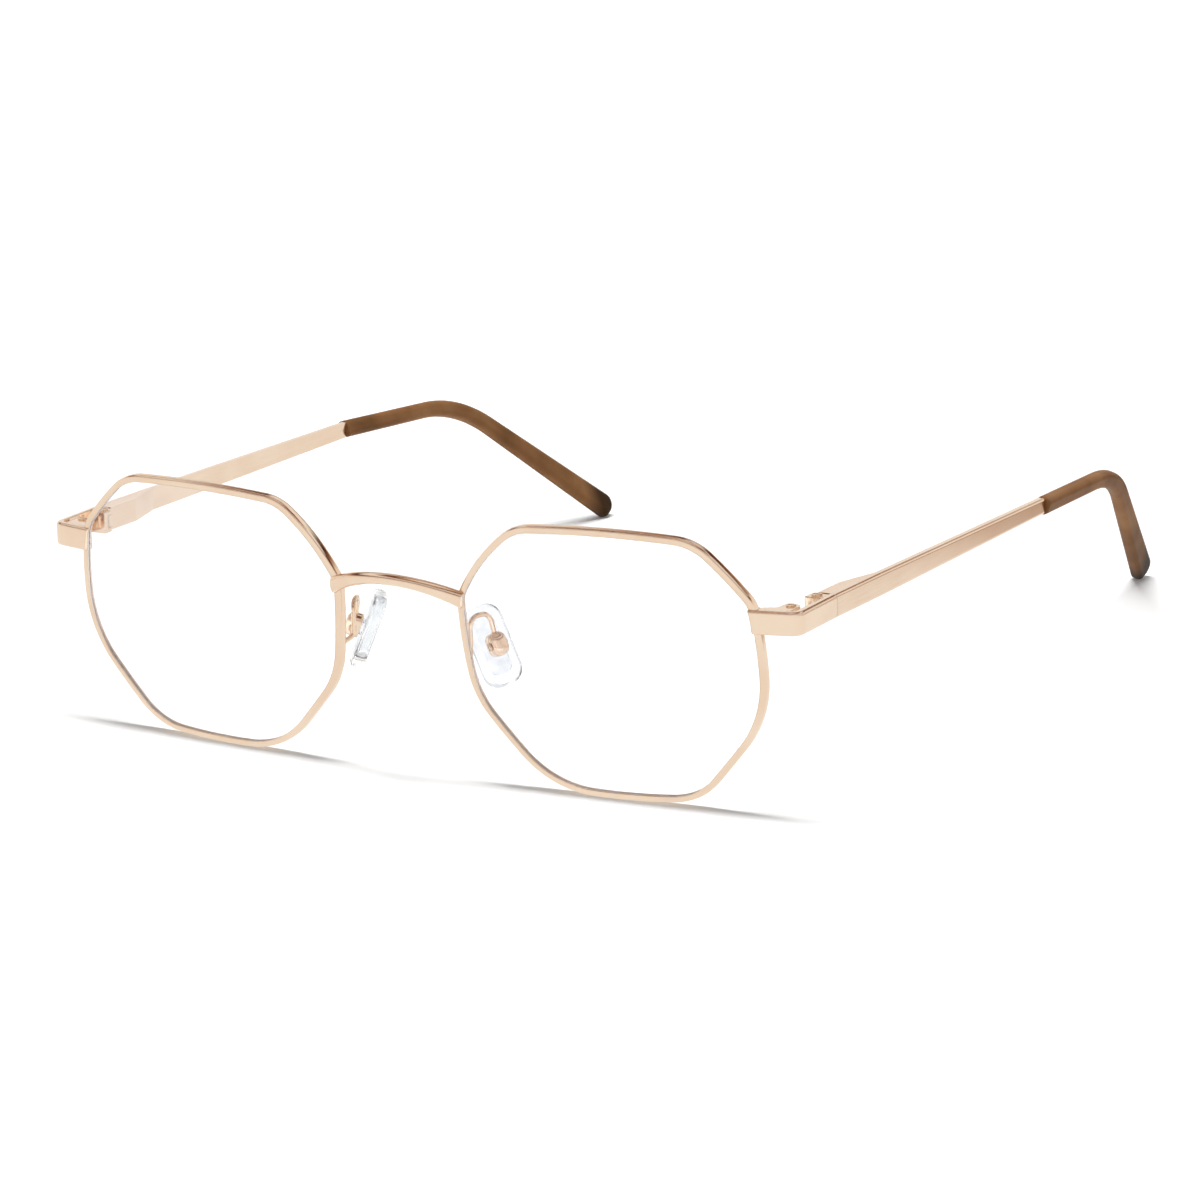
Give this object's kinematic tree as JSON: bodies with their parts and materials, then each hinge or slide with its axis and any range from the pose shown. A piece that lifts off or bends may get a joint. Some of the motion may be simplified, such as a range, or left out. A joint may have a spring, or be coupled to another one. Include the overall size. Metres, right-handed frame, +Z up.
{
  "type": "eyeglasses",
  "caption": "Metal full-rim eyeglasses with angular many-sided rims, clear lenses, nose pads, spring hinges and folding temples with bent acetate tips.",
  "frame": {"origin": "middle of the object's box, on the table that it rests on", "axes": "+Y from the front to the tips of the temples, +X to the wearer's left, +Z up"},
  "size_m": [0.1284, 0.1553, 0.0412],
  "materials": {
    "frame_metal": "polished rose gold plating",
    "screw_steel": "polished",
    "lens": "clear, polished",
    "pad_silicone": "clear silicone",
    "tip_acetate": "polished brown acetate"
  },
  "bodies": {
    "front": {"bridge": "frame_metal", "rim_left": "frame_metal", "lens_left": "lens", "endpiece_left": "frame_metal", "rim_lock_upper_left": "frame_metal", "rim_lock_lower_left": "frame_metal", "rim_lock_screw_left": "screw_steel", "hinge_front_left": "frame_metal", "hinge_screw_left": "screw_steel", "pad_arm_left": "frame_metal", "pad_box_left": "frame_metal", "pad_screw_left": "screw_steel", "rim_right": "frame_metal", "lens_right": "lens", "endpiece_right": "frame_metal", "rim_lock_upper_right": "frame_metal", "rim_lock_lower_right": "frame_metal", "rim_lock_screw_right": "screw_steel", "hinge_front_right": "frame_metal", "hinge_screw_right": "screw_steel", "pad_arm_right": "frame_metal", "pad_box_right": "frame_metal", "pad_screw_right": "screw_steel"},
    "slider_body_left": {"flex_slider_left": "screw_steel"},
    "temple_body_left": {"temple_left": "frame_metal", "temple_tip_left": "tip_acetate", "flex_bush_left": "screw_steel", "flex_spring_left": "screw_steel"},
    "pad_body_left": {"nose_pad_left": "pad_silicone"},
    "slider_body_right": {"flex_slider_right": "screw_steel"},
    "temple_body_right": {"temple_right": "frame_metal", "temple_tip_right": "tip_acetate", "flex_bush_right": "screw_steel", "flex_spring_right": "screw_steel"},
    "pad_body_right": {"nose_pad_right": "pad_silicone"}
  },
  "joints": [
    {"name": "temple_fold_left", "type": "hinge", "parent": "front", "child": "slider_body_left", "pos_m": [0.0609, -0.06016, 0.0294], "axis": [0, 0, 1], "range_deg": [0, 90]},
    {"name": "temple_flex_left", "type": "slide", "parent": "slider_body_left", "child": "temple_body_left", "axis": [0, 1, 0], "range_m": [0, 0.0012], "stiffness_N_per_m": 1500, "springref_m": -0.002, "deforming": ["flex_spring_left"]},
    {"name": "pad_rock_left", "type": "hinge", "parent": "front", "child": "pad_body_left", "pos_m": [0.0126, -0.06695, 0.02015], "axis": [0.4855, 0.8471, 0.2161], "range_deg": [-8, 8]},
    {"name": "temple_fold_right", "type": "hinge", "parent": "front", "child": "slider_body_right", "pos_m": [-0.0609, -0.06016, 0.0294], "axis": [0, 0, -1], "range_deg": [0, 84]},
    {"name": "temple_flex_right", "type": "slide", "parent": "slider_body_right", "child": "temple_body_right", "axis": [0, 1, 0], "range_m": [0, 0.0012], "stiffness_N_per_m": 1500, "springref_m": -0.002, "deforming": ["flex_spring_right"]},
    {"name": "pad_rock_right", "type": "hinge", "parent": "front", "child": "pad_body_right", "pos_m": [-0.0126, -0.06695, 0.02015], "axis": [-0.4855, 0.8471, 0.2161], "range_deg": [-8, 8]}
  ]
}
